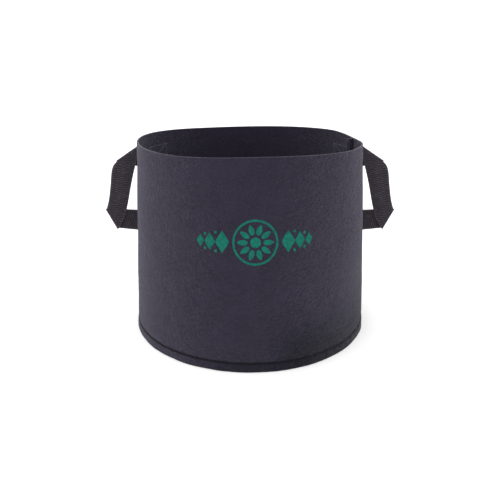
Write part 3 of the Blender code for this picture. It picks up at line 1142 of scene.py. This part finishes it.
def build_print():
    """A plain printed ornament, a flower in a ring between diamonds and dots, in place of a mark."""
    points, faces, uvs = [], [], []

    def patch(lines):
        """Add a closed thin patch of ink over a grid of flat places, conformed to the felt."""
        base = len(points)
        width = len(lines[0])
        for depth in (INK_LIFT, INK_LIFT - INK_DEPTH):
            for line in lines:
                for place in line:
                    rough = noise.noise(Vector((place.x * 900.0, place.y * 900.0, 1.0))) * 0.00012
                    angle = PRINT_ANGLE + (place.x + rough) / BASE_RADIUS
                    points.append(on_wall(angle, PRINT_HEIGHT + place.y + rough, depth))
                    uvs.append((place.x, place.y))
        shift = width * len(lines)
        below = base + shift
        for r in range(len(lines) - 1):
            for c in range(width - 1):
                a = base + r * width + c
                upper = (a, a + 1, a + 1 + width, a + width)
                faces.append(upper)
                faces.append(tuple(corner + shift for corner in reversed(upper)))
        top = (len(lines) - 1) * width
        rim = list(range(width)) + [r * width + width - 1 for r in range(1, len(lines))]
        rim += [top + c for c in range(width - 2, -1, -1)]
        rim += [r * width for r in range(len(lines) - 2, 0, -1)]
        for here, after in zip(rim, rim[1:] + rim[:1]):
            faces.append((base + after, base + here, below + here, below + after))

    def blade(start, end, half_width, count=16):
        """A patch along a line, as wide as half_width says at each share of its length."""
        start, end = Vector(start), Vector(end)
        way = (end - start).normalized()
        beside = Vector((-way.y, way.x))
        patch([
            [
                start.lerp(end, share) + beside * offset * max(half_width(share), BLADE_TIP)
                for share in spread(0.0, 1.0, count)
            ]
            for offset in spread(-1.0, 1.0, BLADE_LINES)
        ])

    def disc(middle, radius):
        middle = Vector(middle)
        side = Vector((radius, 0.0))

        def half_chord(share):
            return radius * math.sqrt(max(0.0, 1 - (2 * share - 1) ** 2))

        blade(middle - side, middle + side, half_chord)

    def toward(turn):
        return Vector((math.cos(turn), math.sin(turn)))

    def ring(radius, half, count=60):
        patch([
            [toward(turn) * (radius + offset) for turn in spread(0.0, 2 * math.pi, count)]
            for offset in (-half, half)
        ])

    def petal(share):
        return PETAL_HALF_WIDTH * math.sin(math.pi * share ** 0.75) ** 0.7

    for number in range(PETALS):
        way = toward(2 * math.pi * number / PETALS)
        blade(way * PETAL_START, way * PETAL_END, petal)
    disc((0.0, 0.0), FLOWER_MIDDLE)
    ring(RING_RADIUS, RING_HALF_WIDTH)
    for side in (-1, 1):
        for middle, half_long, half_high in DIAMONDS:
            blade(
                (side * (middle - half_long), 0.0), (side * (middle + half_long), 0.0),
                lambda t, half_high=half_high: half_high * (1.0 - abs(2.0 * t - 1.0)) ** 0.85,
                count=21,
            )
        for middle, height in DOTS:
            disc((side * middle, height), DOT_RADIUS)
            disc((side * middle, -height), DOT_RADIUS)
    made = mesh_object("front_print", points, faces, uvs, [INK])
    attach(made, "root")


# ---------------------------------------------------------------- the whole bag

build_wall()
build_base()
for side_name, side in (("left", -1), ("right", 1)):
    build_strap(side_name, side)
    build_tab_stitches(side_name, side, "upper", UPPER_TAB_HEIGHT)
    build_tab_stitches(side_name, side, "lower", LOWER_TAB_HEIGHT)
build_base_stitches()
build_side_stitches()
build_print()


# ---------------------------------------------------------------- camera, light and floor

CAMERA_DISTANCE = 4.77 * BASE_RADIUS
CAMERA_HEIGHT = 2.293 * BASE_RADIUS
CAMERA_PITCH = math.radians(12.0)
CAMERA_LENS = 40.39
CAMERA_SHIFT = -0.148
SKY_STRENGTH = 1.5
FLOOR_SIZE = 6.0
FLOOR_DROP = 0.0003


def add_camera():
    data = bpy.data.cameras.new("camera")
    data.sensor_width = 36.0
    data.lens = CAMERA_LENS
    data.shift_y = CAMERA_SHIFT
    data.clip_start = 0.01
    camera = link(bpy.data.objects.new("camera", data))
    camera.location = (0.0, -CAMERA_DISTANCE, CAMERA_HEIGHT)
    camera.rotation_euler = (math.pi / 2 - CAMERA_PITCH, 0.0, 0.0)
    bpy.context.scene.camera = camera


def add_softbox(name, place, target, size, power):
    data = bpy.data.lights.new(name, "AREA")
    data.shape = "RECTANGLE"
    data.size, data.size_y = size
    data.energy = power
    light = link(bpy.data.objects.new(name, data))
    light.location = place
    way = Vector(target) - Vector(place)
    light.rotation_euler = way.to_track_quat("-Z", "Y").to_euler()


def add_floor():
    nodes = Nodes("studio_floor")
    tone = nodes.noise(nodes.position(), 6.0, 2.0)
    colour = nodes.mix(tone, (0.97, 0.97, 0.97), (0.985, 0.985, 0.985))
    for name, value in (("Base Color", colour), ("Roughness", 0.9), ("Specular IOR Level", 0.1)):
        nodes.feed(nodes.shader.inputs[name], value)
    corners = [Vector((x, y, 0.0)) * FLOOR_SIZE for x, y in ((-1, -1), (1, -1), (1, 1), (-1, 1))]
    floor = mesh_object("floor", corners, [(0, 1, 2, 3)], materials=[nodes.material])
    floor.location.z = -FLOOR_DROP


def set_world():
    world = bpy.data.worlds.new("studio")
    bpy.context.scene.world = world
    world.use_nodes = True
    background = world.node_tree.nodes["Background"]
    background.inputs["Color"].default_value = (1.0, 1.0, 1.0, 1.0)
    background.inputs["Strength"].default_value = SKY_STRENGTH


add_camera()
add_floor()
set_world()
add_softbox("left_softbox", (-1.5, -0.1, 0.9), (0.0, 0.0, 0.15), (1.2, 1.6), 3.9)
add_softbox("top_softbox", (-0.8, -0.7, 1.6), (0.0, 0.0, 0.1), (1.6, 1.6), 3.0)

scene = bpy.context.scene
scene.view_settings.view_transform = "Standard"
scene.view_settings.look = "None"
